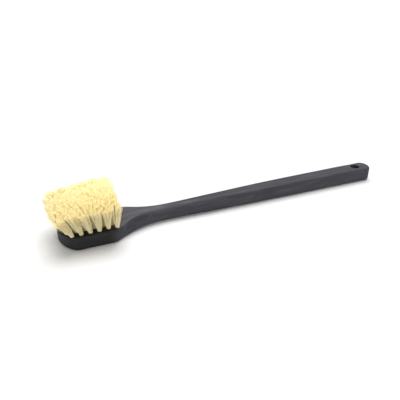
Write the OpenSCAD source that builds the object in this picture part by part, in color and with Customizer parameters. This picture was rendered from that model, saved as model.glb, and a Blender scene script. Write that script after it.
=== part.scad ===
// Long-handled utility brush, lying on its back with the bristles up.
// One-piece plastic handle and block, with tufts of natural fibre folded
// round flat wire staples in blind holes.
// The origin is the bottom centre of the whole brush. +X runs along the
// handle to its hanging end, and +Z runs up through the bristles.

/* [Brush] */
// Length of the plastic, from the toe of the block to the hanging end
overall_length = 509.5; // [470:0.5:560]

/* [Block] */
// Half the width of the block
block_half_width = 35.5; // [34.5:0.1:38]
// Length of the rounded toe
toe_length = 22.2; // [18:0.1:26]
// How square the toe is (2 is an ellipse)
toe_squareness = 1.78; // [1.7:0.01:2.2]
// Thickness of the block under the tufts
block_thickness = 19.8; // [19:0.1:22]
// Where the block starts to narrow, measured from the toe
shoulder_start = 67; // [66:0.5:69]
// Radius of the block's top edge
block_top_radius = 2.4; // [1.5:0.1:2.6]
// Radius of the block's bottom edge
block_bottom_radius = 4.6; // [3:0.1:6]

/* [Neck] */
// Position of the narrowest section, measured from the toe
neck_x = 150.5; // [146:0.5:156]
// Half the width of the narrowest section
neck_half_width = 9.2; // [9:0.1:11]
// How fast the shoulder sweeps in
shoulder_power = 2.35; // [2.2:0.05:2.8]
// Thickness of the neck
neck_thickness = 23; // [21:0.1:24]
// Edge radius of the rounded neck
neck_edge_radius = 8.8; // [6:0.1:8.8]

/* [Grip] */
// Half the width where the grip begins
grip_half_width = 10.9; // [10.5:0.1:13]
// Half the width at the hanging end
end_half_width = 13.8; // [12.8:0.1:14.5]
// Thickness at the hanging end
end_thickness = 22.9; // [21:0.1:24]
// Radius of the grip's top edges
grip_top_radius = 3.1; // [2:0.1:5]
// Radius of the grip's bottom edges
grip_bottom_radius = 4.8; // [3:0.1:6]
// Corner radius of the hanging end, seen from above
end_corner_radius = 12; // [9:0.1:12.4]
// Radius of the top edge at the hanging end
end_top_radius = 4.6; // [3:0.1:6]
// Radius of the bottom edge at the hanging end
end_bottom_radius = 4.4; // [3:0.1:6]

/* [Hanging hole] */
// Diameter of the hanging hole
hang_hole_d = 14.2; // [10:0.1:16]
// Distance from the hole's axis to the hanging end
hang_hole_inset = 26.1; // [22:0.1:34]

/* [Tufts] */
// Diameter of each blind tuft hole
tuft_hole_d = 5.6; // [5:0.1:6]
// Depth of each blind tuft hole
tuft_hole_depth = 13; // [11:0.5:14.5]
// Tufts in each row
tufts_per_row = 6; // [5:1:6]
// Spacing of the tufts along a row
tuft_pitch = 11.75; // [11.5:0.05:11.8]
// Spacing between the rows
row_pitch = 9.4; // [9.3:0.05:9.5]
// Radius that a tuft spreads to at its tip
tuft_tip_radius = 6.5; // [5:0.1:6.5]
// Length of fibre standing out of the block at the toe
toe_fibre = 38.5; // [34:0.5:44]
// Length of fibre standing out of the block at the heel
heel_fibre = 43; // [38:0.5:46]
// Share by which the rows spread apart towards the tips, at the toe
toe_spread = 0.29; // [0.27:0.01:0.36]
// Share by which the rows spread apart towards the tips, at the heel
heel_spread = 0.55; // [0.48:0.01:0.6]
// How far the first tufts lean out over the toe
toe_lean = 16; // [13:0.5:17]

/* [Hidden] */
ROWS = 7;
HOLE_R = tuft_hole_d / 2;
ROOT_R = HOLE_R - 0.1;                 // folded fibre bundle in its hole
ROOT_UP = 0.8;                         // height above the block at which a tuft starts to lean
FIRST_ODD = 15.2;                      // first tuft of the outer, third and fifth rows
FIRST_EVEN = 10.2;                     // first tuft of the rows between them
LEAN_POWER = 1.1;                      // how soon the lean dies out towards the heel
FLOOR_OF_HOLE = block_thickness - tuft_hole_depth;
STAPLE = [5.2, 0.45, 1.8];             // length, thickness and height of a flat wire staple
STAPLE_UP = 2;                         // the fold of fibre under a staple
SWEEP_GROW = 22.2;                     // growth of the half width over the 74 mm before the neck
GRIP_RUN = 83;                         // length over which the neck widens into the grip
EDGE_RUN = 204;                        // length over which the neck's round edges tighten

function smooth(a, b, x) = let (t = max(0, min(1, (x - a) / (b - a)))) t * t * (3 - 2 * t);
function mix(a, b, t) = a + (b - a) * t;

// Half the width of the plan outline, at a distance x from the toe.
function sweep(x) = neck_half_width
    + SWEEP_GROW * pow(max(0, neck_x - x) / 74, shoulder_power);
SHOULDER_END = shoulder_start + 9;
SLOPE = (sweep(SHOULDER_END + 0.5) - sweep(SHOULDER_END - 0.5));
function shoulder(x) = let (h = SHOULDER_END - shoulder_start, t = (x - shoulder_start) / h)
    block_half_width * (2 * pow(t, 3) - 3 * pow(t, 2) + 1)
    + sweep(SHOULDER_END) * (3 * pow(t, 2) - 2 * pow(t, 3))
    + SLOPE * h * (pow(t, 3) - pow(t, 2));
function grip(x) = mix(neck_half_width, grip_half_width, smooth(neck_x - 1, neck_x + GRIP_RUN, x))
    + (end_half_width - grip_half_width) * max(0, x - neck_x - GRIP_RUN) / (overall_length - neck_x - GRIP_RUN);
function half_width(x) =
    x < shoulder_start ? block_half_width :
    x < SHOULDER_END ? shoulder(x) :
    x < neck_x ? max(sweep(x), grip(x)) : grip(x);

// Thickness and edge radii, at a distance x from the toe.
function thickness(x) = x < neck_x
    ? mix(block_thickness, neck_thickness, smooth(78, 102, x))
    : mix(neck_thickness, end_thickness, (x - neck_x) / (overall_length - neck_x));
function top_radius(x) = x < neck_x
    ? mix(block_top_radius, neck_edge_radius, smooth(72, neck_x - 6, x))
    : mix(neck_edge_radius, grip_top_radius, smooth(neck_x, neck_x + EDGE_RUN, x))
    + (end_top_radius - grip_top_radius) * smooth(overall_length - 60, overall_length - 12, x);
function bottom_radius(x) = x < neck_x
    ? mix(block_bottom_radius, neck_edge_radius, smooth(72, neck_x - 6, x))
    : mix(neck_edge_radius, grip_bottom_radius, smooth(neck_x, neck_x + EDGE_RUN, x))
    + (end_bottom_radius - grip_bottom_radius) * smooth(overall_length - 60, overall_length - 12, x);

// Half of the plan outline as [x, half width].
TOE_STEPS = 18;
END_STEPS = 12;
function toe_point(t) = [
    toe_length * (1 - pow(cos(t), 2 / toe_squareness)),
    block_half_width * pow(sin(t), 2 / toe_squareness)];
function end_point(a) = [
    overall_length - end_corner_radius * (1 - sin(a)),
    half_width(overall_length - end_corner_radius) - end_corner_radius * (1 - cos(a))];
SIDE_X = concat(
    [for (i = [1:4]) toe_length + (shoulder_start - toe_length) * i / 4],
    [for (i = [1:6]) mix(shoulder_start, SHOULDER_END, i / 6)],
    [for (i = [1:12]) mix(SHOULDER_END, neck_x, i / 12)],
    [for (i = [1:8]) mix(neck_x, neck_x + 80, i / 8)],
    [for (i = [1:9]) mix(neck_x + 80, overall_length - 60, i / 9)],
    [for (i = [1:5]) mix(overall_length - 60, overall_length - end_corner_radius - 1, i / 5)]);
// Quarter turns are walked in angles, so that the points crowd where the outline turns.
HALF = concat(
    [for (i = [0:TOE_STEPS]) toe_point(90 * i / TOE_STEPS)],
    [for (x = SIDE_X) [x, half_width(x)]],
    [for (i = [0:END_STEPS]) end_point(90 * i / END_STEPS)]);
LAST = len(HALF) - 1;
function unit(v) = v / norm(v);
// The outward direction at each point of the half outline.
function outward(i) = i == 0 ? [-1, 0] : i == LAST ? [1, 0] :
    let (d = unit(unit(HALF[i] - HALF[i - 1]) + unit(HALF[i + 1] - HALF[i]))) [-d[1], d[0]];

// Rings of the rounded section, from the flat bottom up to the flat top:
// [share of the edge radius drawn in, share of the radius up or down, 0 bottom or 1 top].
EDGE_STEPS = 6;
RINGS = concat(
    [for (i = [0:EDGE_STEPS]) [1 - sin(90 * i / EDGE_STEPS), 1 - cos(90 * i / EDGE_STEPS), 0]],
    [for (i = [0:EDGE_STEPS]) [1 - cos(90 * i / EDGE_STEPS), 1 - sin(90 * i / EDGE_STEPS), 1]]);
function ring_point(i, r) = let (
        p = HALF[i], x = p[0],
        e = r[2] == 0 ? bottom_radius(x) : top_radius(x),
        q = p - outward(i) * e * r[0])
    [q[0], max(q[1], 0), r[2] == 0 ? e * r[1] : thickness(x) - e * r[1]];
// One side of a ring from the toe to the end, then the other side back.
function whole_ring(r) = concat(
    [for (i = [0:LAST]) ring_point(i, r)],
    [for (i = [LAST - 1:-1:1]) let (p = ring_point(i, r)) [p[0], -p[1], p[2]]]);
RING_N = 2 * LAST;

module solid_plastic() {
    points = [for (r = RINGS) each whole_ring(r)];
    top = (len(RINGS) - 1) * RING_N;
    sides = [for (k = [0:len(RINGS) - 2], i = [0:RING_N - 1], h = [0:1])
        let (a = k * RING_N + i, b = k * RING_N + (i + 1) % RING_N, c = b + RING_N, d = a + RING_N)
        h == 0 ? [a, b, c] : [a, c, d]];
    under = [for (i = [0:LAST - 1]) let (a = i, b = i + 1, c = (RING_N - i - 1) % RING_N, d = (RING_N - i) % RING_N)
        i == 0 ? [a, c, b] : i == LAST - 1 ? [a, d, b] : [a, d, c, b]];
    over = [for (i = [0:LAST - 1]) let (a = top + i, b = top + i + 1, c = top + (RING_N - i - 1) % RING_N, d = top + (RING_N - i) % RING_N)
        i == 0 ? [a, b, c] : i == LAST - 1 ? [a, b, d] : [a, b, c, d]];
    polyhedron(points = points, faces = concat(sides, under, over), convexity = 6);
}

// Tuft places: row 1 is on the -Y side, tuft 1 is at the toe.
function row_y(row) = (row - (ROWS + 1) / 2) * row_pitch;
function tuft_x(row, n) = (row % 2 == 1 ? FIRST_ODD : FIRST_EVEN) + (n - 1) * tuft_pitch;
function base_of(row, n) = [tuft_x(row, n), row_y(row)];
// A tuft's place along the block, 0 at the toe and 1 at the heel.
function along(row, n) = max(0, min(1, (tuft_x(row, n) - 10) / 64));
// The tips lean out over the toe, stand upright at the heel, and spread to both sides.
function tip_of(row, n) = let (b = base_of(row, n), t = along(row, n))
    [b[0] - toe_lean * pow(1 - t, LEAN_POWER), b[1] * (1 + mix(toe_spread, heel_spread, t))];
// The fibre is cut to one length for its place, so a tuft that leans further ends lower.
function tip_z(row, n) = let (d = tip_of(row, n) - base_of(row, n))
    block_thickness + sqrt(pow(mix(toe_fibre, heel_fibre, along(row, n)), 2) - d * d);

// The toe's place in the part's frame, which is centred on the whole brush's length.
TOE_X = -(overall_length + tip_of(4, 1)[0] - tuft_tip_radius) / 2;

module handle_block() {
    color("#3e3f45")
    translate([TOE_X, 0, 0])
    difference() {
        solid_plastic();
        for (row = [1:ROWS], n = [1:tufts_per_row])
            translate([base_of(row, n)[0], base_of(row, n)[1], FLOOR_OF_HOLE])
                cylinder(h = tuft_hole_depth + 10, d = tuft_hole_d, $fn = 32);
        translate([overall_length - hang_hole_inset, 0, -1])
            cylinder(h = end_thickness + 3, d = hang_hole_d, $fn = 64);
    }
}

// A tuft is a bundle of fibre folded under its staple, so its root is slotted.
// The root stands straight in its hole, then the tuft bends outwards and spreads
// to its trimmed tip. Each level is [height, share of the lean, radius].
TUFT_SIDES = 24;
function tuft_levels(z) = [
    [FLOOR_OF_HOLE + 0.1, 0, ROOT_R],
    [block_thickness + ROOT_UP, 0, ROOT_R],
    [mix(block_thickness + ROOT_UP, z, 0.16), 0.11, mix(ROOT_R, tuft_tip_radius, 0.18)],
    [z, 1, tuft_tip_radius]];
module tuft_solid(d, z) {
    n = TUFT_SIDES;
    levels = tuft_levels(z);
    top = (len(levels) - 1) * n;
    points = [for (l = levels, i = [0:n - 1])
        [d[0] * l[1] + l[2] * cos(360 * i / n), d[1] * l[1] + l[2] * sin(360 * i / n), l[0]]];
    sides = [for (k = [0:len(levels) - 2], i = [0:n - 1])
        let (a = k * n + i, b = k * n + (i + 1) % n) [a, a + n, b + n, b]];
    polyhedron(points = points,
        faces = concat(sides, [[for (i = [0:n - 1]) i]], [[for (i = [n - 1:-1:0]) top + i]]), convexity = 4);
}
module tuft(row, n) {
    b = base_of(row, n);
    color("#efe2a6")
    translate([TOE_X + b[0], b[1], 0])
        difference() {
            tuft_solid(tip_of(row, n) - b, tip_z(row, n));
            translate([0, 0, FLOOR_OF_HOLE + STAPLE_UP + STAPLE[2] / 2])
                cube([2 * ROOT_R + 1, STAPLE[1] + 0.1, STAPLE[2] + 0.1], center = true);
        }
}

// Flat wire staples, one in the fold of each tuft of a row.
module staples(row) {
    color("#b9bcc0")
    for (n = [1:tufts_per_row])
        translate([TOE_X + base_of(row, n)[0], base_of(row, n)[1], FLOOR_OF_HOLE + STAPLE_UP + STAPLE[2] / 2])
            cube(STAPLE, center = true);
}

function tuft_name(row, n) = str("tuft_row", row, "_", n);
function staples_name(row) = str("staples_row", row);

handle_block();
for (row = [1:ROWS], n = [1:tufts_per_row])
    tuft(row, n);
for (row = [1:ROWS])
    staples(row);
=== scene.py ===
"""A long-handled utility brush lying on its back: a one-piece plastic handle and block with a hanging hole,
and 42 tufts of natural fibre, each folded round a flat wire staple in its own blind hole.

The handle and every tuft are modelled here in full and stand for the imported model's nodes of the same place.
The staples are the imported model's own solids with a worked steel finish. Millimetres are used while shapes are
made, measured along X from the toe of the block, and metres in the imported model's frame once they are placed.
"""

import math

import bmesh
import bpy
import numpy as np
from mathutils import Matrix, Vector


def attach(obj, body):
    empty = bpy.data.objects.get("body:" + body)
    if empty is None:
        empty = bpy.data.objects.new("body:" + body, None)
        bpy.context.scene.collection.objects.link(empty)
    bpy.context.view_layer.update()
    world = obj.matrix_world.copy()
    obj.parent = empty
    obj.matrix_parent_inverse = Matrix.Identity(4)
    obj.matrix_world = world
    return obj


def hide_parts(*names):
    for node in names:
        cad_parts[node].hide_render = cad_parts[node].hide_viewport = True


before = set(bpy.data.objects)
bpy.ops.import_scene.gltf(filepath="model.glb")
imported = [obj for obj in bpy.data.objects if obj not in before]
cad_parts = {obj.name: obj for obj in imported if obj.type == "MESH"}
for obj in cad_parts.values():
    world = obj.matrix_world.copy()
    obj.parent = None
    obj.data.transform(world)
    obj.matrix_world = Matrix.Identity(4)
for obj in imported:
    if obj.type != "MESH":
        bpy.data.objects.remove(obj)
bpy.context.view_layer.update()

MM = 0.001

# ---------------------------------------------------------------- sizes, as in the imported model's source
LENGTH = 509.5
BLOCK_HALF = 35.5
TOE_LENGTH = 22.2
TOE_POWER = 1.78
BLOCK_THICK = 19.8
SHOULDER = 67.0
BLOCK_TOP_R = 2.4
BLOCK_BOTTOM_R = 4.6
NECK_X = 150.5
NECK_HALF = 9.2
SWEEP_POWER = 2.35
NECK_THICK = 23.0
NECK_R = 8.8
GRIP_HALF = 10.9
GRIP_RUN = 83.0
EDGE_RUN = 204.0
SWEEP_GROW = 22.2
END_HALF = 13.8
END_THICK = 22.9
GRIP_TOP_R = 3.1
GRIP_BOTTOM_R = 4.8
END_TOP_R = 4.6
END_BOTTOM_R = 4.4
CORNER_R = 12.0
HOLE_D = 14.2
HOLE_IN = 26.1
TUFT_HOLE_D = 5.6
TUFT_DEPTH = 13.0
PER_ROW = 6
ROWS = 7
PITCH = 11.75
ROW_PITCH = 9.4
TIP_R = 6.5
TOE_FIBRE = 38.5
HEEL_FIBRE = 43.0
TOE_SPREAD = 0.29
HEEL_SPREAD = 0.55
TOE_LEAN = 16.0
LEAN_POWER = 1.1
FIRST_ODD = 15.2
FIRST_EVEN = 10.2
FLOOR = BLOCK_THICK - TUFT_DEPTH
STAPLE_UP = 2.0


def clamp01(t):
    return min(1.0, max(0.0, t))


def smooth(a, b, x):
    t = clamp01((x - a) / (b - a))
    return t * t * (3 - 2 * t)


def mix(a, b, t):
    return a + (b - a) * t


def sweep(x):
    return NECK_HALF + SWEEP_GROW * (max(0.0, NECK_X - x) / 74) ** SWEEP_POWER


SHOULDER_END = SHOULDER + 9
SLOPE = sweep(SHOULDER_END + 0.5) - sweep(SHOULDER_END - 0.5)


def shoulder(x):
    h = SHOULDER_END - SHOULDER
    t = (x - SHOULDER) / h
    return (
        BLOCK_HALF * (2 * t**3 - 3 * t**2 + 1)
        + sweep(SHOULDER_END) * (3 * t**2 - 2 * t**3)
        + SLOPE * h * (t**3 - t**2)
    )


def grip(x):
    return mix(NECK_HALF, GRIP_HALF, smooth(NECK_X - 1, NECK_X + GRIP_RUN, x)) + (
        END_HALF - GRIP_HALF
    ) * max(0.0, x - NECK_X - GRIP_RUN) / (LENGTH - NECK_X - GRIP_RUN)


def half_width(x):
    if x < SHOULDER:
        return BLOCK_HALF
    if x < SHOULDER_END:
        return shoulder(x)
    if x < NECK_X:
        return max(sweep(x), grip(x))
    return grip(x)


def thickness(x):
    if x < NECK_X:
        return mix(BLOCK_THICK, NECK_THICK, smooth(78, 102, x))
    return mix(NECK_THICK, END_THICK, (x - NECK_X) / (LENGTH - NECK_X))


def top_radius(x):
    if x < NECK_X:
        return mix(BLOCK_TOP_R, NECK_R, smooth(72, NECK_X - 6, x))
    return mix(NECK_R, GRIP_TOP_R, smooth(NECK_X, NECK_X + EDGE_RUN, x)) + (END_TOP_R - GRIP_TOP_R) * smooth(LENGTH - 60, LENGTH - 12, x)


def bottom_radius(x):
    if x < NECK_X:
        return mix(BLOCK_BOTTOM_R, NECK_R, smooth(72, NECK_X - 6, x))
    return mix(NECK_R, GRIP_BOTTOM_R, smooth(NECK_X, NECK_X + EDGE_RUN, x)) + (END_BOTTOM_R - GRIP_BOTTOM_R) * smooth(LENGTH - 60, LENGTH - 12, x)


def base_of(row, n):
    first = FIRST_ODD if row % 2 == 1 else FIRST_EVEN
    return first + (n - 1) * PITCH, (row - (ROWS + 1) / 2) * ROW_PITCH


def along(row, n):
    """A tuft's place along the block, 0 at the toe and 1 at the heel."""
    return clamp01((base_of(row, n)[0] - 10) / 64)


def tip_of(row, n):
    x, y = base_of(row, n)
    t = along(row, n)
    return x - TOE_LEAN * (1 - t) ** LEAN_POWER, y * (1 + mix(TOE_SPREAD, HEEL_SPREAD, t))


def fibre_length(row, n):
    return mix(TOE_FIBRE, HEEL_FIBRE, along(row, n))


TOP = max(
    BLOCK_THICK + math.sqrt(fibre_length(r, n) ** 2 - (tip_of(r, n)[0] - base_of(r, n)[0]) ** 2 - (tip_of(r, n)[1] - base_of(r, n)[1]) ** 2)
    for r in range(1, ROWS + 1)
    for n in range(1, PER_ROW + 1)
)


TOE_X = -(LENGTH + tip_of(4, 1)[0] - TIP_R) / 2


# ---------------------------------------------------------------- small helpers
def new_object(name, verts, faces, smooth_shade=True):
    """A mesh object from millimetre points measured from the toe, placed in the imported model's frame in metres."""
    pts = np.asarray(verts, float).copy()
    pts[:, 0] += TOE_X
    pts *= MM
    mesh = bpy.data.meshes.new(name)
    mesh.from_pydata(pts.tolist(), [], faces)
    mesh.validate()
    if smooth_shade:
        mesh.shade_smooth()
    obj = bpy.data.objects.new(name, mesh)
    bpy.context.scene.collection.objects.link(obj)
    return obj


def soft_noise(seed):
    """A smooth function of (x, y, z) in millimetres between about -1 and 1, from a few long waves."""
    rng = np.random.default_rng(seed)
    waves = []
    for _ in range(9):
        k = rng.normal(size=3) * np.array([0.045, 0.11, 0.11])
        waves.append((k, rng.uniform(0, 2 * np.pi), rng.uniform(0.6, 1.0)))
    total = sum(w[2] for w in waves) * 0.5

    def f(p):
        return sum(a * np.sin(p @ k + ph) for k, ph, a in waves) / total

    return f


# ---------------------------------------------------------------- handle and block
def plan_outline():
    """Half of the plan outline as [x, half width], from the toe round to the hanging end."""
    pts = []
    steps = 54
    for i in range(steps + 1):
        t = math.pi / 2 * i / steps
        pts.append(
            (
                TOE_LENGTH * (1 - math.cos(t) ** (2 / TOE_POWER)),
                BLOCK_HALF * math.sin(t) ** (2 / TOE_POWER),
            )
        )
    xs = [mix(TOE_LENGTH, SHOULDER, i / 14) for i in range(1, 15)]
    xs += [mix(SHOULDER, SHOULDER_END, i / 14) for i in range(1, 15)]
    xs += [mix(SHOULDER_END, NECK_X, i / 36) for i in range(1, 37)]
    xs += [mix(NECK_X, NECK_X + 80, i / 32) for i in range(1, 33)]
    end = LENGTH - CORNER_R
    xs += [mix(NECK_X + 80, end - 1, i / 66) for i in range(1, 67)]
    pts += [(x, half_width(x)) for x in xs]
    w = half_width(end)
    for i in range(25):
        a = math.pi / 2 * i / 24
        pts.append((LENGTH - CORNER_R * (1 - math.sin(a)), w - CORNER_R * (1 - math.cos(a))))
    return pts


def handle_mesh():
    half = plan_outline()
    last = len(half) - 1
    h = np.array(half)
    out = np.zeros_like(h)
    for i in range(last + 1):
        if i == 0:
            out[i] = (-1, 0)
        elif i == last:
            out[i] = (1, 0)
        else:
            a = h[i] - h[i - 1]
            b = h[i + 1] - h[i]
            d = a / np.linalg.norm(a) + b / np.linalg.norm(b)
            d /= np.linalg.norm(d)
            out[i] = (-d[1], d[0])
    edge = 12
    rings = [
        (1 - math.sin(math.pi / 2 * i / edge), 1 - math.cos(math.pi / 2 * i / edge), 0)
        for i in range(edge + 1)
    ]
    rings += [(0.0, None, s) for s in (0.25, 0.5, 0.75)]
    rings += [
        (1 - math.cos(math.pi / 2 * i / edge), 1 - math.sin(math.pi / 2 * i / edge), 1)
        for i in range(edge + 1)
    ]
    verts = []

    def at(i, ring):
        x = half[i][0]
        lo, hi = bottom_radius(x), thickness(x) - top_radius(x)
        if ring[1] is None:
            return half[i][0], half[i][1], mix(lo, hi, ring[2])
        e = bottom_radius(x) if ring[2] == 0 else top_radius(x)
        q = h[i] - out[i] * e * ring[0]
        z = e * ring[1] if ring[2] == 0 else thickness(x) - e * ring[1]
        return q[0], max(q[1], 0.0), z

    n = 2 * last
    for ring in rings:
        side = [at(i, ring) for i in range(last + 1)]
        verts += side
        verts += [(side[i][0], -side[i][1], side[i][2]) for i in range(last - 1, 0, -1)]
    faces = []
    for k in range(len(rings) - 1):
        for i in range(n):
            a, b = k * n + i, k * n + (i + 1) % n
            faces.append((a, a + n, b + n, b))
    # The flat bottom and top, each a grid across the width.
    across = 14
    for level, ring_start in ((0, 0), (1, (len(rings) - 1) * n)):
        rows = []
        for i in range(last + 1):
            left = ring_start + i
            if i in (0, last):
                rows.append([left] * (across + 1))
                continue
            right = ring_start + (n - i) % n
            a, b = np.array(verts[left]), np.array(verts[right])
            row = [left]
            for j in range(1, across):
                verts.append(tuple(a + (b - a) * j / across))
                row.append(len(verts) - 1)
            row.append(right)
            rows.append(row)
        for i in range(last):
            for j in range(across):
                quad = [rows[i][j], rows[i + 1][j], rows[i + 1][j + 1], rows[i][j + 1]]
                if level == 0:
                    quad.reverse()
                tidy = [v for m, v in enumerate(quad) if v != quad[m - 1]]
                if len(tidy) >= 3:
                    faces.append(tuple(tidy))
    # Moulded plastic is never quite flat: the neck and grip draw in by up to a quarter of a millimetre.
    p = np.array(verts)
    wave = soft_noise(11)(p) * 0.5 + 0.5
    amount = 0.26 * wave * np.array([smooth(96, 140, x) * (1 - smooth(478, 500, x)) for x in p[:, 0]])
    width = np.array([half_width(x) for x in p[:, 0]])
    thick = np.array([thickness(x) for x in p[:, 0]])
    p[:, 1] -= amount * p[:, 1] / width
    p[:, 2] -= amount * np.clip((p[:, 2] - thick * 0.45) / (thick * 0.55), 0, 1)
    return p, faces


def lathe(cx, cy, profile, sides):
    """A closed turned solid round a vertical axis: profile is [radius, height] upwards."""
    verts, faces = [], []
    for r, z in profile:
        for i in range(sides):
            a = 2 * math.pi * i / sides
            verts.append((cx + r * math.cos(a), cy + r * math.sin(a), z))
    for k in range(len(profile) - 1):
        for i in range(sides):
            a, b = k * sides + i, k * sides + (i + 1) % sides
            faces.append((a, b, b + sides, a + sides))
    faces.append(tuple(range(sides - 1, -1, -1)))
    top = (len(profile) - 1) * sides
    faces.append(tuple(range(top, top + sides)))
    return verts, faces


def cutters():
    """The blind tuft holes, each with a drill point and a slightly broken rim, and the hanging hole with rounded rims."""
    verts, faces = [], []

    def add(part):
        start = len(verts)
        verts.extend(part[0])
        faces.extend(tuple(v + start for v in f) for f in part[1])

    r = TUFT_HOLE_D / 2
    for row in range(1, ROWS + 1):
        for n in range(1, PER_ROW + 1):
            x, y = base_of(row, n)
            add(
                lathe(
                    x,
                    y,
                    [
                        (r * 0.35, FLOOR - 0.35),
                        (r, FLOOR + 0.15),
                        (r, BLOCK_THICK - 0.22),
                        (r + 0.08, BLOCK_THICK - 0.08),
                        (r + 0.26, BLOCK_THICK + 0.02),
                        (r + 0.26, BLOCK_THICK + 1.5),
                    ],
                    36,
                )
            )
    x = LENGTH - HOLE_IN
    r, rim, top = HOLE_D / 2, 0.7, thickness(x)
    profile = [(r + rim + 0.05, -1.5)]
    for i in range(7):
        a = math.pi / 2 * i / 6
        profile.append((r + rim * (1 - math.sin(a)), rim * (1 - math.cos(a))))
    for s in (0.25, 0.5, 0.75):
        profile.append((r, mix(rim, top - rim, s)))
    for i in range(7):
        a = math.pi / 2 * i / 6
        profile.append((r + rim * (1 - math.cos(a)), top - rim * (1 - math.sin(a))))
    profile.append((r + rim + 0.05, top + 1.5))
    add(lathe(x, 0, profile, 72))
    return verts, faces


def make_handle():
    p, faces = handle_mesh()
    body = new_object("handle_blank", p, faces)
    tool = new_object("hole_cutters", *cutters())
    cut = body.modifiers.new("holes", "BOOLEAN")
    cut.operation = "DIFFERENCE"
    cut.solver = "EXACT"
    cut.object = tool
    bpy.context.view_layer.update()
    done = bpy.data.meshes.new_from_object(body.evaluated_get(bpy.context.evaluated_depsgraph_get()))
    for old in (body, tool):
        mesh = old.data
        bpy.data.objects.remove(old)
        bpy.data.meshes.remove(mesh)
    bm = bmesh.new()
    bm.from_mesh(done)
    bmesh.ops.remove_doubles(bm, verts=bm.verts, dist=2e-7)
    bmesh.ops.dissolve_degenerate(bm, edges=bm.edges, dist=2e-7)
    bmesh.ops.recalc_face_normals(bm, faces=bm.faces)
    bm.to_mesh(done)
    bm.free()
    done.name = "moulded_handle"
    done.shade_smooth()
    done.set_sharp_from_angle(angle=math.radians(32))
    obj = bpy.data.objects.new("moulded_handle", done)
    bpy.context.scene.collection.objects.link(obj)
    even = obj.modifiers.new("even_shading", "WEIGHTED_NORMAL")
    even.keep_sharp = True
    even.weight = 70
    return obj


# ---------------------------------------------------------------- tufts
FIBRE_R = 0.17  # millimetres, at the fold
SIDES = 5
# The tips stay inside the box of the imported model, with room for a fibre's own radius.
X_MIN = tip_of(4, 1)[0] - TIP_R + 0.25
Y_MAX = tip_of(7, PER_ROW)[1] + TIP_R - 0.03
HEEL_EDGE = 81.3


def soft_limit(v, limit, width):
    """v, eased so that it never passes limit."""
    over = v - (limit - width)
    return np.where(over > 0, limit - width * np.exp(-np.maximum(over, 0) / width), v)


def half_disc(rng, count, radius, gap):
    """count points packed in the half disc y > gap, on a shaken close-packed grid."""
    pitch = math.sqrt(1.1547 * (math.pi * radius**2 / 2 - 2 * radius * gap * 0.9) / count) * 1.02
    while True:
        pts = []
        for j in range(-40, 41):
            for i in range(-40, 41):
                x = (i + 0.5 * (j % 2)) * pitch + 0.13 * pitch
                y = gap + pitch * 0.866 * j + 0.02
                if y >= gap and x * x + y * y <= radius * radius:
                    pts.append((x, y))
        if len(pts) >= count:
            break
        pitch *= 0.985
    pts = np.array(pts)
    keep = rng.permutation(len(pts))[:count]
    return pts[keep] + rng.normal(scale=pitch * 0.05, size=(count, 2))


def room(d, tip, crown, n):
    """How far each fibre may spread: the outermost tufts fill out to one even edge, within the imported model's box."""
    side = min(1.0, (Y_MAX - 0.35 - abs(tip[1])) / crown)
    toe = min(1.45 if abs(tip[1]) < 30 else 0.95, (tip[0] - X_MIN - 0.35) / crown) if n == 1 else 1.0
    heel = min(1.6, (HEEL_EDGE + 0.085 * tip[1] - tip[0]) / crown) if n == PER_ROW else 1.0
    out_y = d[:, 1] * (1 if tip[1] > 0 else -1) > 0
    return np.column_stack([np.where(d[:, 0] < 0, toe, heel), np.where(out_y, side, 1.0)])


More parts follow.
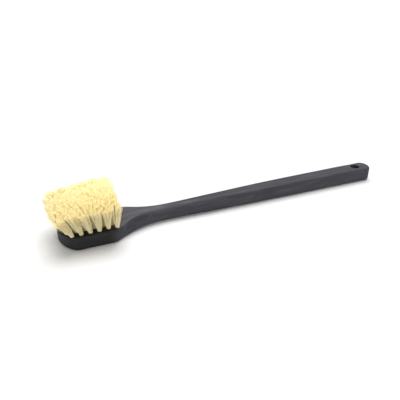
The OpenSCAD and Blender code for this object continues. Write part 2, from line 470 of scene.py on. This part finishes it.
def tuft_points(row, n):
    """Points along each fibre of a tuft: up one side, and the same fibre down the other, folded under the staple.
    Returns (strands, rings, 3) points and (strands, rings) radii."""
    rng = np.random.default_rng(7000 + row * 100 + n)
    count = 150
    base = np.array(base_of(row, n))
    # In use the fibres have taken a slight set: towards the heel on one side, towards the toe on the other.
    tip = np.array(tip_of(row, n)) + np.array([0.045 * base[1], 0]) + rng.normal(scale=0.75, size=2)
    lean = tip - base
    length = fibre_length(row, n) + rng.normal(scale=0.9)
    root_r = TUFT_HOLE_D / 2 - 0.12 - FIBRE_R
    first = half_disc(rng, count, root_r, 0.42)
    second = first * np.array([1, -1]) + rng.normal(scale=0.02, size=(count, 2))
    # Fibres cling together in a few locks, which leaves small gaps in the crown of the tuft.
    turn = rng.uniform(0, 2 * np.pi)
    locks = [np.zeros(2)]
    for k in range(6):
        a = turn + 2 * np.pi * k / 6 + rng.normal(scale=0.2)
        locks.append(np.array([math.cos(a), math.sin(a)]) * rng.uniform(0.62, 0.78))
    locks = np.array(locks) + rng.normal(scale=0.06, size=(7, 2))
    cling = rng.uniform(0.12, 0.37, size=7)
    crown = TUFT_CROWN * (1 + rng.normal(scale=0.03))
    legs = []
    for side in (first, second):
        d = side / root_r
        r = np.linalg.norm(d, axis=1, keepdims=True)
        d = d * (0.97 + 0.03 * r)
        d = d + rng.normal(scale=0.075, size=(count, 2))
        which = np.argmin(((d[:, None, :] - locks[None]) ** 2).sum(-1), axis=1)
        d = d + (locks[which] - d) * cling[which][:, None]
        # a few stray fibres stand out of the tuft
        stray = rng.random(count) < 0.09
        d = np.where(stray[:, None], d * rng.uniform(1.02, 1.38, size=(count, 1)), d)
        end = d * crown * room(d, tip, crown, n)
        # cut to one length, with the slight unevenness of plant fibre, so a fibre that leans out ends lower
        reach = ((lean + end - side) ** 2).sum(-1)
        z_tip = BLOCK_THICK + np.sqrt(length**2 - reach) + 0.55 - np.abs(rng.normal(scale=0.6, size=count))
        short = rng.random(count) < 0.06
        z_tip = np.where(short, z_tip - rng.uniform(0.8, 4.5, size=count), z_tip)
        z_tip -= 1.5 * np.clip((d**2).sum(-1), 0, 1.6)
        z_tip = np.minimum(z_tip, TOP - 0.1)
        bend = rng.normal(scale=0.34, size=(count, 2))
        curl = rng.normal(scale=0.30, size=(count, 2))
        phase = rng.uniform(0, 2 * np.pi, size=count)
        legs.append((side, end, z_tip, bend, curl, phase))

    z_under = FLOOR + STAPLE_UP
    legs_rings = 6
    z_fixed = [z_under, BLOCK_THICK - 0.4, BLOCK_THICK + 2.6]

    def leg(side, end, z_tip, bend, curl, phase):
        rows = []
        for k in range(legs_rings):
            if k < 3:
                z = np.full(len(side), z_fixed[k])
            else:
                s = (k - 2) / (legs_rings - 3)
                z = mix(z_fixed[2], z_tip, s)
            h = np.clip((z - (BLOCK_THICK + 0.2)) / (z_tip - BLOCK_THICK - 0.2), 0, 1)[:, None]
            centre = base + lean * h**1.2
            spread = h**0.92
            wob = np.sin(np.pi * h) * bend + np.sin(2 * np.pi * h + phase[:, None] * 0) * curl * 0.5
            off = side * (1 - spread) + end * spread + wob * np.clip(h * 6, 0, 1)
            xy = centre + off
            rows.append(np.column_stack([xy, z]))
        return np.stack(rows, axis=1)

    up = leg(*legs[0])
    down = leg(*legs[1])
    # The fold under the staple: half a turn, deeper for the outer fibres.
    depth = 0.25 + 1.45 * np.linalg.norm(first, axis=1) / root_r
    fold = []
    for a in (0.25, 0.5, 0.75):
        c, s = math.cos(math.pi * a), math.sin(math.pi * a)
        y = np.where(c >= 0, first[:, 1] * c, -second[:, 1] * c)
        x = mix(first[:, 0], second[:, 0], a)
        fold.append(np.column_stack([base[0] + x, base[1] + y, z_under - depth * s]))
    fold = np.stack(fold, axis=1)
    path = np.concatenate([up[:, ::-1], fold, down], axis=1)
    rings = path.shape[1]
    thick = rng.normal(1.0, 0.11, size=count).clip(0.72, 1.16)
    taper = np.abs(np.linspace(-1, 1, rings))
    radius = FIBRE_R * thick[:, None] * (1 - 0.10 * taper[None, :] ** 2)
    path[:, :, 0] = -soft_limit(-path[:, :, 0], -(X_MIN + 0.2), 1.3)
    path[:, :, 1] = soft_limit(path[:, :, 1], Y_MAX - 0.2, 1.3)
    path[:, :, 1] = -soft_limit(-path[:, :, 1], Y_MAX - 0.2, 1.3)
    return path, radius


TUFT_CROWN = 8.0


def make_tuft(row, n):
    path, radius = tuft_points(row, n)
    strands, rings = radius.shape
    tangent = np.gradient(path, axis=1)
    tangent /= np.linalg.norm(tangent, axis=2, keepdims=True)
    ref = np.array([1.0, 0, 0])
    normal = ref - (tangent @ ref)[..., None] * tangent
    normal /= np.linalg.norm(normal, axis=2, keepdims=True)
    binormal = np.cross(tangent, normal)
    rng = np.random.default_rng(9000 + row * 100 + n)
    start = rng.uniform(0, 2 * np.pi, size=strands)
    ang = start[:, None] + 2 * np.pi * np.arange(SIDES)[None] / SIDES
    c = np.cos(ang)[:, None, :, None]
    s = np.sin(ang)[:, None, :, None]
    verts = path[:, :, None, :] + radius[:, :, None, None] * (c * normal[:, :, None, :] + s * binormal[:, :, None, :])
    verts = verts.reshape(-1, 3)
    k = np.arange(strands)[:, None, None] * rings * SIDES
    j = np.arange(rings - 1)[None, :, None] * SIDES
    i = np.arange(SIDES)[None, None, :]
    a = k + j + i
    b = k + j + (i + 1) % SIDES
    quads = np.stack([a, b, b + SIDES, a + SIDES], axis=-1).reshape(-1, 4)
    first = (np.arange(strands)[:, None] * rings * SIDES) + np.arange(SIDES - 1, -1, -1)[None]
    final = (np.arange(strands)[:, None] * rings * SIDES) + (rings - 1) * SIDES + np.arange(SIDES)[None]
    faces = quads.tolist() + first.tolist() + final.tolist()
    obj = new_object(f"fibre_tuft_row{row}_{n}", verts, faces)
    return obj


# ---------------------------------------------------------------- materials
def node_material(name):
    mat = bpy.data.materials.new(name)
    mat.use_nodes = True
    nt = mat.node_tree
    nt.nodes.clear()
    out = nt.nodes.new("ShaderNodeOutputMaterial")
    shader = nt.nodes.new("ShaderNodeBsdfPrincipled")
    nt.links.new(shader.outputs["BSDF"], out.inputs["Surface"])
    return mat, nt, shader


def noise(nt, vector, scale, detail=3.0, rough=0.5, distort=0.0):
    node = nt.nodes.new("ShaderNodeTexNoise")
    node.inputs["Scale"].default_value = scale
    node.inputs["Detail"].default_value = detail
    node.inputs["Roughness"].default_value = rough
    node.inputs["Distortion"].default_value = distort
    nt.links.new(vector, node.inputs["Vector"])
    return node


def stretch(nt, vector, scale):
    node = nt.nodes.new("ShaderNodeMapping")
    node.inputs["Scale"].default_value = scale
    nt.links.new(vector, node.inputs["Vector"])
    return node.outputs["Vector"]


def ramp(nt, value, stops, mode="LINEAR"):
    node = nt.nodes.new("ShaderNodeValToRGB")
    node.color_ramp.interpolation = mode
    els = node.color_ramp.elements
    while len(els) > 1:
        els.remove(els[-1])
    els[0].position, els[0].color = stops[0][0], (*stops[0][1], 1)
    for pos, col in stops[1:]:
        e = els.new(pos)
        e.color = (*col, 1)
    nt.links.new(value, node.inputs["Fac"])
    return node.outputs["Color"]


def grey(v):
    return (v, v, v)


def span(nt, value, a, b, c, d):
    node = nt.nodes.new("ShaderNodeMapRange")
    node.inputs["From Min"].default_value = a
    node.inputs["From Max"].default_value = b
    node.inputs["To Min"].default_value = c
    node.inputs["To Max"].default_value = d
    nt.links.new(value, node.inputs["Value"])
    return node.outputs["Result"]


def blend(nt, fac, a, b, kind="MIX"):
    node = nt.nodes.new("ShaderNodeMix")
    node.data_type = "RGBA"
    node.blend_type = kind
    for key, v in (("Factor", fac), ("A", a), ("B", b)):
        socket = next(s for s in node.inputs if s.name == key and s.enabled and (key == "Factor" or s.type == "RGBA"))
        if hasattr(v, "is_linked"):
            nt.links.new(v, socket)
        elif key == "Factor":
            socket.default_value = v
        else:
            socket.default_value = (*v, 1)
    return next(s for s in node.outputs if s.type == "RGBA")


def maths(nt, op, a, b=None):
    node = nt.nodes.new("ShaderNodeMath")
    node.operation = op
    for i, v in enumerate((a, b)):
        if v is None:
            continue
        if hasattr(v, "is_linked"):
            nt.links.new(v, node.inputs[i])
        else:
            node.inputs[i].default_value = v
    return node.outputs[0]


def bump(nt, height, distance, strength=1.0, before=None):
    node = nt.nodes.new("ShaderNodeBump")
    node.inputs["Strength"].default_value = strength
    node.inputs["Distance"].default_value = distance
    nt.links.new(height, node.inputs["Height"])
    if before is not None:
        nt.links.new(before, node.inputs["Normal"])
    return node.outputs["Normal"]


def edge_mask(nt, radius):
    """How sharply the surface turns here, from 0 on flats to 1 at a tight edge."""
    bev = nt.nodes.new("ShaderNodeBevel")
    bev.samples = 6
    bev.inputs["Radius"].default_value = radius
    geo = nt.nodes.new("ShaderNodeNewGeometry")
    dot = nt.nodes.new("ShaderNodeVectorMath")
    dot.operation = "DOT_PRODUCT"
    nt.links.new(bev.outputs["Normal"], dot.inputs[0])
    nt.links.new(geo.outputs["True Normal"], dot.inputs[1])
    return span(nt, dot.outputs["Value"], 0.995, 0.90, 0.0, 1.0)


def plastic_material():
    mat, nt, shader = node_material("moulded_charcoal_plastic")
    coord = nt.nodes.new("ShaderNodeTexCoord").outputs["Object"]
    # The melt flowed along the handle, so its streaks run lengthwise and swirl a little.
    flow = noise(nt, stretch(nt, coord, (14, 130, 130)), 1.0, 5.0, 0.62, 0.9).outputs["Fac"]
    mottle = noise(nt, coord, 62.0, 4.0, 0.6, 0.4).outputs["Fac"]
    grain = noise(nt, coord, 1700.0, 2.0, 0.6).outputs["Fac"]
    fine = noise(nt, stretch(nt, coord, (260, 900, 900)), 1.0, 3.0, 0.55).outputs["Fac"]
    base = ramp(nt, flow, [(0.28, (0.016, 0.016, 0.021)), (0.5, (0.027, 0.027, 0.034)), (0.72, (0.052, 0.052, 0.064))])
    base = blend(nt, span(nt, mottle, 0.35, 0.7, 0.0, 0.5), base, (0.034, 0.0335, 0.041))
    base = blend(nt, span(nt, grain, 0.62, 0.8, 0.0, 0.35), base, (0.055, 0.055, 0.062))
    # The block is darkened: painted shade, as cast by the tufts that overhang it.
    place = nt.nodes.new("ShaderNodeSeparateXYZ")
    nt.links.new(coord, place.inputs["Vector"])
    x = place.outputs["X"]
    base = blend(nt, span(nt, x, (SHOULDER - 6 + TOE_X) * MM, (SHOULDER + 12 + TOE_X) * MM, 1.0, 0.0), base, grey(0.15), "MULTIPLY")
    # The neck's upward-facing top is paler, and the start of the grip a little: partly rubbed wear, partly painted
    # highlight.
    neck_wear_and_highlight = maths(nt, "MULTIPLY", span(nt, x, (SHOULDER + 2 + TOE_X) * MM, (SHOULDER + 16 + TOE_X) * MM, 0.0, 0.55), span(nt, x, (116 + TOE_X) * MM, (175 + TOE_X) * MM, 1.0, 0.0))
    facing = nt.nodes.new("ShaderNodeSeparateXYZ")
    nt.links.new(nt.nodes.new("ShaderNodeNewGeometry").outputs["Normal"], facing.inputs["Vector"])
    neck_wear_and_highlight = maths(nt, "MULTIPLY", neck_wear_and_highlight, span(nt, facing.outputs["Z"], 0.55, 0.97, 0.0, 1.0))
    base = blend(nt, maths(nt, "MULTIPLY", neck_wear_and_highlight, span(nt, flow, 0.35, 0.65, 0.35, 1.0)), base, (0.095, 0.095, 0.108))
    # Edges rub paler and duller, in patches.
    wear_noise = span(nt, noise(nt, coord, 150.0, 4.0, 0.65).outputs["Fac"], 0.42, 0.66, 0.15, 1.0)
    wear = maths(nt, "MULTIPLY", edge_mask(nt, 0.0011), wear_noise)
    base = blend(nt, maths(nt, "MULTIPLY", wear, 0.5), base, (0.085, 0.085, 0.095))
    nt.links.new(base, shader.inputs["Base Color"])
    rough = maths(nt, "ADD", span(nt, mottle, 0.3, 0.72, 0.54, 0.68), span(nt, fine, 0.3, 0.7, -0.04, 0.05))
    rough = maths(nt, "ADD", rough, maths(nt, "MULTIPLY", wear, 0.10))
    nt.links.new(rough, shader.inputs["Roughness"])
    shader.inputs["Specular IOR Level"].default_value = 0.36
    n1 = bump(nt, mottle, 0.00022, 0.35)
    n2 = bump(nt, fine, 0.00005, 0.5, n1)
    n3 = bump(nt, grain, 0.00004, 0.5, n2)
    nt.links.new(n3, shader.inputs["Normal"])
    return mat


def fibre_material():
    mat, nt, shader = node_material("tampico_fibre")
    coord = nt.nodes.new("ShaderNodeTexCoord").outputs["Object"]
    geo = nt.nodes.new("ShaderNodeNewGeometry")
    per = geo.outputs["Random Per Island"]
    sep = nt.nodes.new("ShaderNodeSeparateXYZ")
    nt.links.new(coord, sep.inputs["Vector"])
    # Each fibre has its own tone, from bleached straw to a few that stay golden.
    tone = ramp(
        nt,
        per,
        [
            (0.0, (0.70, 0.47, 0.14)),
            (0.06, (0.90, 0.71, 0.30)),
            (0.25, (0.96, 0.82, 0.43)),
            (0.6, (0.975, 0.86, 0.51)),
            (1.0, (0.98, 0.86, 0.56)),
        ],
    )
    # Along a fibre the colour drifts, and it is deeper towards the fold.
    drift = noise(nt, stretch(nt, coord, (500, 500, 70)), 1.0, 3.0, 0.6).outputs["Fac"]
    tone = blend(nt, span(nt, drift, 0.45, 0.72, 0.0, 0.45), tone, (0.93, 0.77, 0.40))
    root = span(nt, sep.outputs["Z"], 0.018, 0.046, 0.55, 0.0)
    tone = blend(nt, root, tone, (0.98, 0.83, 0.46))
    # Crowns differ a little from tuft to tuft.
    patch = noise(nt, coord, 85.0, 2.0, 0.5).outputs["Fac"]
    tone = blend(nt, span(nt, patch, 0.36, 0.66, 0.0, 0.5), tone, (0.95, 0.78, 0.38))
    nt.links.new(tone, shader.inputs["Base Color"])
    streak = noise(nt, stretch(nt, coord, (5200, 5200, 320)), 1.0, 2.0, 0.5).outputs["Fac"]
    nt.links.new(span(nt, streak, 0.3, 0.7, 0.46, 0.66), shader.inputs["Roughness"])
    # Plant fibre lets some light through.
    shader.inputs["Subsurface Weight"].default_value = 0.5
    shader.inputs["Subsurface Radius"].default_value = (1.0, 0.75, 0.4)
    shader.inputs["Subsurface Scale"].default_value = 0.0012
    shader.inputs["Specular IOR Level"].default_value = 0.35
    nt.links.new(bump(nt, streak, 0.00003, 0.5), shader.inputs["Normal"])
    return mat


def steel_material():
    mat, nt, shader = node_material("staple_wire")
    coord = nt.nodes.new("ShaderNodeTexCoord").outputs["Object"]
    drawn = noise(nt, stretch(nt, coord, (900, 16000, 16000)), 1.0, 3.0, 0.6).outputs["Fac"]
    tint = noise(nt, coord, 900.0, 3.0, 0.6).outputs["Fac"]
    base = ramp(nt, tint, [(0.3, (0.46, 0.455, 0.44)), (0.62, (0.60, 0.60, 0.595)), (0.8, (0.42, 0.36, 0.28))])
    wear = edge_mask(nt, 0.00012)
    base = blend(nt, maths(nt, "MULTIPLY", wear, 0.5), base, (0.72, 0.72, 0.72))
    nt.links.new(base, shader.inputs["Base Color"])
    nt.links.new(span(nt, drawn, 0.3, 0.7, 0.26, 0.44), shader.inputs["Roughness"])
    shader.inputs["Metallic"].default_value = 1.0
    nt.links.new(bump(nt, drawn, 0.00001, 0.6), shader.inputs["Normal"])
    return mat


def floor_material():
    mat, nt, shader = node_material("studio_paper")
    coord = nt.nodes.new("ShaderNodeTexCoord").outputs["Object"]
    tooth = noise(nt, coord, 900.0, 3.0, 0.6).outputs["Fac"]
    base = ramp(nt, tooth, [(0.3, (0.675, 0.675, 0.677)), (0.7, (0.69, 0.69, 0.692))])
    nt.links.new(base, shader.inputs["Base Color"])
    shader.inputs["Roughness"].default_value = 0.9
    shader.inputs["Specular IOR Level"].default_value = 0.0
    return mat


# ---------------------------------------------------------------- build
plastic = plastic_material()
fibre = fibre_material()
steel = steel_material()

handle = make_handle()
handle.data.materials.clear()
handle.data.materials.append(plastic)
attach(handle, "root")
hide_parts("handle_block")

for row in range(1, ROWS + 1):
    for n in range(1, PER_ROW + 1):
        tuft = make_tuft(row, n)
        tuft.data.materials.append(fibre)
        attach(tuft, "root")
        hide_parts(f"tuft_row{row}_{n}")
    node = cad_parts[f"staples_row{row}"]
    for slot in node.material_slots:
        slot.link = "OBJECT"
        slot.material = steel

# ---------------------------------------------------------------- floor, light and camera
half = 14.0
floor = bpy.data.objects.new("studio_floor", bpy.data.meshes.new("studio_floor"))
bm = bmesh.new()
bmesh.ops.create_grid(bm, x_segments=12, y_segments=12, size=half)
bm.to_mesh(floor.data)
bm.free()
floor.location = (0, 0, -0.0004)
floor.data.materials.append(floor_material())
bpy.context.scene.collection.objects.link(floor)

world = bpy.data.worlds.new("studio")
bpy.context.scene.world = world
world.use_nodes = True
sky = world.node_tree.nodes["Background"]
sky.inputs["Color"].default_value = (1.0, 1.0, 1.0, 1)
sky.inputs["Strength"].default_value = 0.54

# A wide overhead softbox, far enough away to light the whole sweep of paper evenly.
sun = bpy.data.lights.new("overhead_softbox", "SUN")
sun.energy = 3.05
sun.angle = math.radians(46)
key = bpy.data.objects.new("overhead_softbox", sun)
key.rotation_euler = Vector((-0.14, -0.22, -1.0)).to_track_quat("-Z", "Y").to_euler()
bpy.context.scene.collection.objects.link(key)

# A weak, very wide fill from the camera's side.
fill = bpy.data.lights.new("front_fill", "SUN")
fill.energy = 1.35
fill.angle = math.radians(70)
low = bpy.data.objects.new("front_fill", fill)
low.rotation_euler = Vector((0.38, 0.86, -0.30)).to_track_quat("-Z", "Y").to_euler()
bpy.context.scene.collection.objects.link(low)

# The backdrop is the same white paper all round. It is only seen, and neither lights nor shades the brush.
drop = bpy.data.objects.new("studio_backdrop", bpy.data.meshes.new("studio_backdrop"))
bm = bmesh.new()
bmesh.ops.create_icosphere(bm, subdivisions=4, radius=24)
bm.to_mesh(drop.data)
bm.free()
glow = bpy.data.materials.new("backdrop_paper")
glow.use_nodes = True
glow.node_tree.nodes.clear()
shine = glow.node_tree.nodes.new("ShaderNodeEmission")
shine.inputs["Color"].default_value = (1, 1, 1, 1)
shine.inputs["Strength"].default_value = 1.0
end = glow.node_tree.nodes.new("ShaderNodeOutputMaterial")
glow.node_tree.links.new(shine.outputs["Emission"], end.inputs["Surface"])
drop.data.materials.append(glow)
bpy.context.scene.collection.objects.link(drop)
drop.visible_diffuse = drop.visible_glossy = drop.visible_transmission = False
drop.visible_volume_scatter = drop.visible_shadow = False

cam = bpy.data.cameras.new("camera")
cam.sensor_fit = "HORIZONTAL"
cam.sensor_width = 36.0
cam.lens = 42.651
cam.clip_start, cam.clip_end = 0.02, 60
camera = bpy.data.objects.new("camera", cam)
tilt, swing = math.radians(27.8404), math.radians(23.4598)
camera.location = (TOE_X * MM - 0.038906, -0.55901, 0.34049)
look = Vector((math.sin(swing) * math.cos(tilt), math.cos(swing) * math.cos(tilt), -math.sin(tilt)))
camera.rotation_euler = look.to_track_quat("-Z", "Y").to_euler()
bpy.context.scene.collection.objects.link(camera)
bpy.context.scene.camera = camera
bpy.context.scene.view_settings.view_transform = "Standard"
